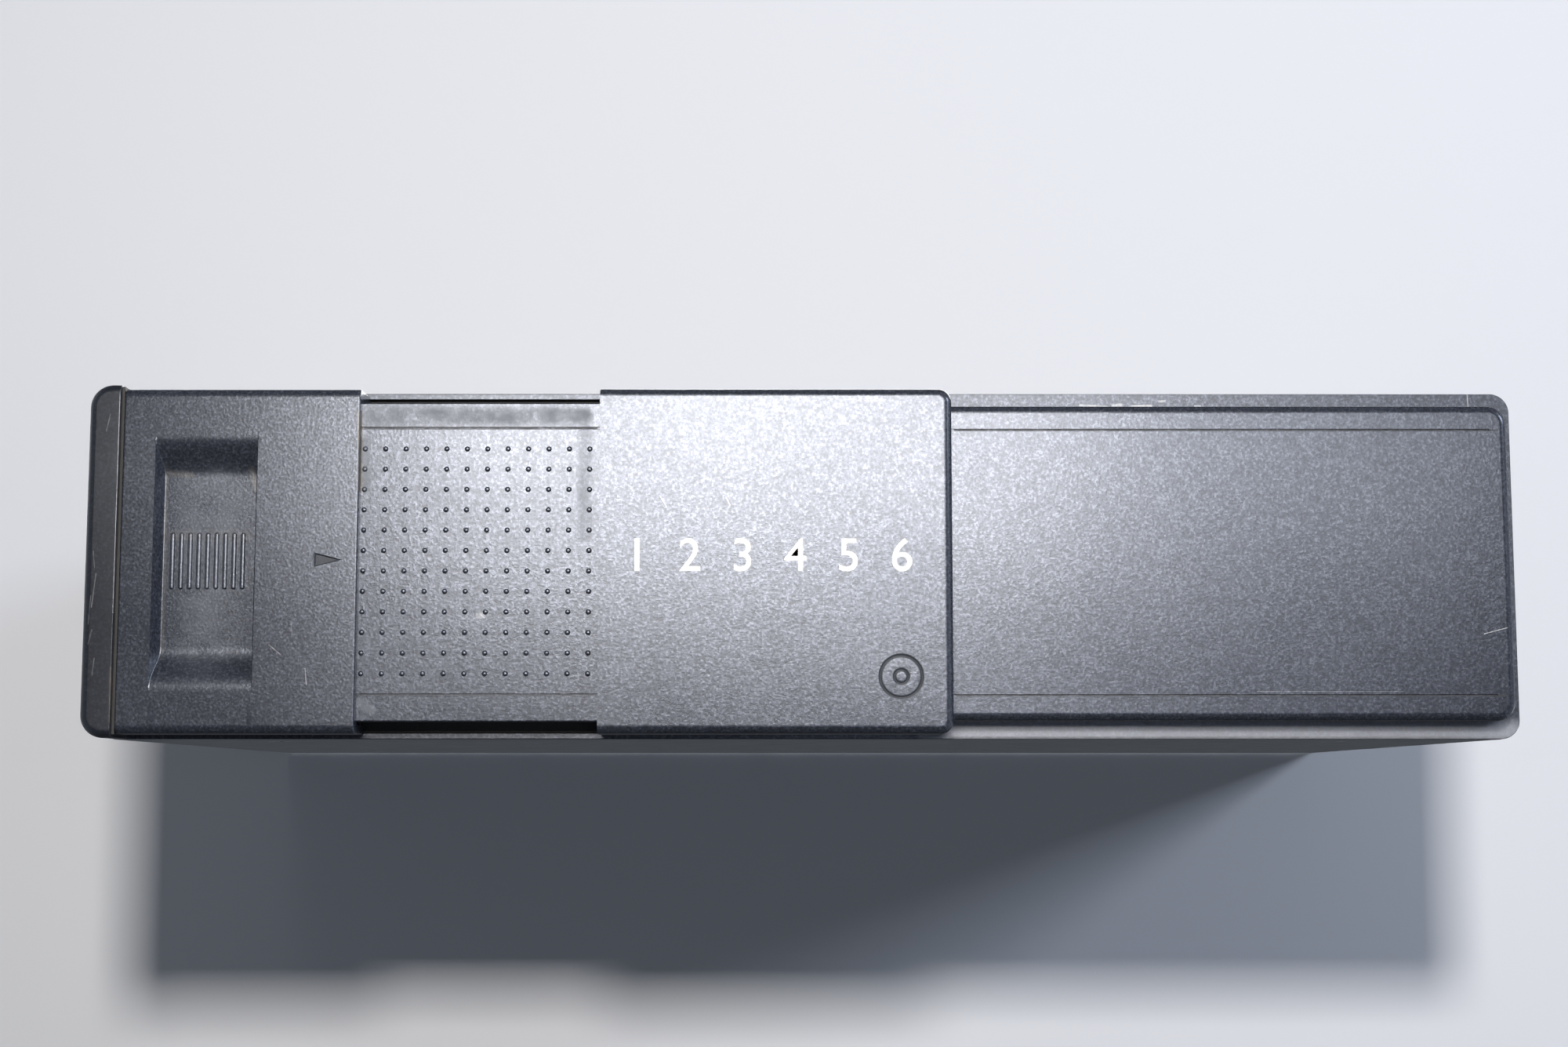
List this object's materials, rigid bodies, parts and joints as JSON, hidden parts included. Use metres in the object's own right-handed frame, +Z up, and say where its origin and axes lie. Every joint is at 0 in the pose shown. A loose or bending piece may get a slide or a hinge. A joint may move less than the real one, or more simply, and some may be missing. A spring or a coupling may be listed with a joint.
{
  "type": "car compact disc changer",
  "caption": "Flat box-shaped changer with a two-leaf sliding front door over a magazine of disc trays, a lifting play deck and mounting holes in its sides and floor.",
  "frame": {"origin": "middle of the footprint, on the surface that the case stands on", "axes": "+X to the right along the front, +Y to the back, +Z up"},
  "size_m": [0.257, 0.165, 0.063],
  "materials": {
    "front_moulding": "fine spark-eroded ABS, charcoal",
    "zinc_steel": "zinc-plated sheet",
    "black_steel": "black powder coat",
    "screw_steel": "black-chromated",
    "black_plastic": "moulded ABS",
    "tray_plastic": "acetal",
    "disc": "aluminised polycarbonate",
    "rubber": "moulded",
    "spring_steel": "spring wire",
    "white_acetal": "acetal",
    "motor_steel": "nickel-plated",
    "brass": "turned",
    "lens": "coated",
    "board": "soldermask",
    "chip": "moulded epoxy",
    "contact": "gold-plated",
    "dial_plastic": "nylon"
  },
  "bodies": {
    "case": {"chassis_tray": "zinc_steel", "top_lid": "black_steel", "case_screws": "screw_steel", "front_bezel": "front_moulding", "fixed_panel": "front_moulding", "damper_boots": "rubber", "suspension_springs": "spring_steel", "board_standoffs": "white_acetal", "main_board": "board", "board_chips": "chip", "rear_socket": "black_plastic", "socket_pins": "contact"},
    "cover": {"door_cover": "front_moulding"},
    "leaf": {"door_leaf": "front_moulding"},
    "button": {"eject_button": "black_plastic"},
    "dial_left": {"angle_dial_left": "dial_plastic"},
    "dial_right": {"angle_dial_right": "dial_plastic"},
    "frame": {"floating_frame": "zinc_steel", "bay_roof": "zinc_steel", "guide_posts": "motor_steel", "lift_motor": "motor_steel", "lift_shaft": "motor_steel", "pusher_spring": "spring_steel"},
    "magazine": {"magazine_shell": "black_plastic"},
    "pusher": {"eject_pusher": "white_acetal"},
    "deck": {"deck_frame": "zinc_steel", "clamp_pin": "motor_steel"},
    "hook": {"tray_hook": "white_acetal"},
    "cam": {"cam_plate": "zinc_steel"},
    "lift_wheel": {"lift_gear": "white_acetal"},
    "lift_motor_wheel": {"lift_motor_pinion": "brass"},
    "traverse": {"traverse_plate": "black_steel", "guide_rods": "motor_steel", "spindle_motor": "motor_steel", "sled_motor": "motor_steel", "sled_shaft": "motor_steel"},
    "table": {"turntable": "black_plastic"},
    "pickup": {"pickup_head": "tray_plastic", "pickup_lens": "lens"},
    "sled_wheel": {"sled_gear": "white_acetal"},
    "sled_motor_wheel": {"sled_motor_pinion": "brass"},
    "clamp": {"clamp_arm": "zinc_steel"},
    "puck": {"clamp_puck": "black_plastic"},
    "tray_1": {"tray_1": "tray_plastic", "disc_1": "disc"},
    "tray_2": {"tray_2": "tray_plastic", "disc_2": "disc"},
    "tray_3": {"tray_3": "tray_plastic", "disc_3": "disc"},
    "tray_4": {"tray_4": "tray_plastic", "disc_4": "disc"},
    "tray_5": {"tray_5": "tray_plastic", "disc_5": "disc"},
    "tray_6": {"tray_6": "tray_plastic", "disc_6": "disc"}
  },
  "joints": [
    {"name": "cover_slide", "type": "slide", "parent": "case", "child": "cover", "axis": [1, 0, 0], "range_m": [0, 0.1]},
    {"name": "leaf_slide", "type": "slide", "parent": "cover", "child": "leaf", "axis": [1, 0, 0], "range_m": [0, 0.0425]},
    {"name": "eject_press", "type": "slide", "parent": "case", "child": "button", "axis": [0, 1, 0], "range_m": [0, 0.0025], "stiffness_N_per_m": 300, "springref_m": -0.001},
    {"name": "left_dial_turn", "type": "hinge", "parent": "case", "child": "dial_left", "pos_m": [-0.1262, 0.04, 0.034], "axis": [1, 0, 0], "range_deg": [0, 90]},
    {"name": "right_dial_turn", "type": "hinge", "parent": "case", "child": "dial_right", "pos_m": [0.1262, 0.04, 0.034], "axis": [1, 0, 0], "range_deg": [0, 90]},
    {"name": "frame_float", "type": "slide", "parent": "case", "child": "frame", "axis": [0, 0, 1], "range_m": [-0.0012, 0.0012], "stiffness_N_per_m": 8000, "springref_m": 0.0016, "deforming": ["suspension_springs"]},
    {"name": "magazine_slide", "type": "slide", "parent": "frame", "child": "magazine", "axis": [0, -1, 0], "range_m": [0, 0.0095]},
    {"name": "pusher_slide", "type": "slide", "parent": "frame", "child": "pusher", "axis": [0, -1, 0], "range_m": [0, 0.0095]},
    {"name": "deck_lift", "type": "slide", "parent": "frame", "child": "deck", "axis": [0, 0, 1], "range_m": [0, 0.035]},
    {"name": "cam_slide", "type": "slide", "parent": "frame", "child": "cam", "axis": [0, 1, 0], "range_m": [0, 0.045]},
    {"name": "lift_gear_turn", "type": "hinge", "parent": "frame", "child": "lift_wheel", "pos_m": [0.1017, -0.02, 0.007], "axis": [0, 0, 1], "range_deg": [0, 613.89]},
    {"name": "lift_pinion_turn", "type": "hinge", "parent": "frame", "child": "lift_motor_wheel", "pos_m": [0.09538, -0.0309, 0.01], "axis": [0, 0, 1], "range_deg": [-1596.1, 0]},
    {"name": "traverse_rise", "type": "slide", "parent": "deck", "child": "traverse", "axis": [0, 0, 1], "range_m": [0, 0.0026]},
    {"name": "turntable_spin", "type": "hinge", "parent": "traverse", "child": "table", "pos_m": [0.0541, -0.0044, 0.01], "axis": [0, 0, 1], "continuous": true},
    {"name": "pickup_slide", "type": "slide", "parent": "traverse", "child": "pickup", "axis": [0, 1, 0], "range_m": [0, 0.033]},
    {"name": "sled_gear_turn", "type": "hinge", "parent": "traverse", "child": "sled_wheel", "pos_m": [0.035, 0.026, 0.007], "axis": [0, 0, 1], "range_deg": [0, 540.22]},
    {"name": "sled_pinion_turn", "type": "hinge", "parent": "traverse", "child": "sled_motor_wheel", "pos_m": [0.024, 0.026, 0.008], "axis": [0, 0, 1], "range_deg": [-1440.58, 0]},
    {"name": "clamp_close", "type": "hinge", "parent": "deck", "child": "clamp", "pos_m": [0.1041, -0.0044, 0.0183], "axis": [0, -1, 0], "range_deg": [0, 0.5]},
    {"name": "puck_spin", "type": "hinge", "parent": "clamp", "child": "puck", "pos_m": [0.0541, -0.0044, 0.017], "axis": [0, 0, 1], "continuous": true},
    {"name": "hook_slide", "type": "slide", "parent": "deck", "child": "hook", "axis": [-1, 0, 0], "range_m": [-0.1115, 0]},
    {"name": "tray_1_slide", "type": "slide", "parent": "magazine", "child": "tray_1", "axis": [-1, 0, 0], "range_m": [-0.1115, 0]},
    {"name": "tray_2_slide", "type": "slide", "parent": "magazine", "child": "tray_2", "axis": [-1, 0, 0], "range_m": [-0.1115, 0]},
    {"name": "tray_3_slide", "type": "slide", "parent": "magazine", "child": "tray_3", "axis": [-1, 0, 0], "range_m": [-0.1115, 0]},
    {"name": "tray_4_slide", "type": "slide", "parent": "magazine", "child": "tray_4", "axis": [-1, 0, 0], "range_m": [-0.1115, 0]},
    {"name": "tray_5_slide", "type": "slide", "parent": "magazine", "child": "tray_5", "axis": [-1, 0, 0], "range_m": [-0.1115, 0]},
    {"name": "tray_6_slide", "type": "slide", "parent": "magazine", "child": "tray_6", "axis": [-1, 0, 0], "range_m": [-0.1115, 0]}
  ],
  "couplings": [
    {"joint": "pusher_slide", "follows": "magazine_slide", "ratio": 1},
    {"joint": "cam_slide", "follows": "deck_lift", "ratio": 1.2857},
    {"joint": "lift_gear_turn", "follows": "deck_lift", "rad_per_m": 306.12},
    {"joint": "lift_pinion_turn", "follows": "deck_lift", "rad_per_m": -795.92},
    {"joint": "sled_gear_turn", "follows": "pickup_slide", "rad_per_m": 285.71},
    {"joint": "sled_pinion_turn", "follows": "pickup_slide", "rad_per_m": -761.9},
    {"joint": "hook_slide", "follows": "tray_1_slide", "ratio": 1}
  ]
}
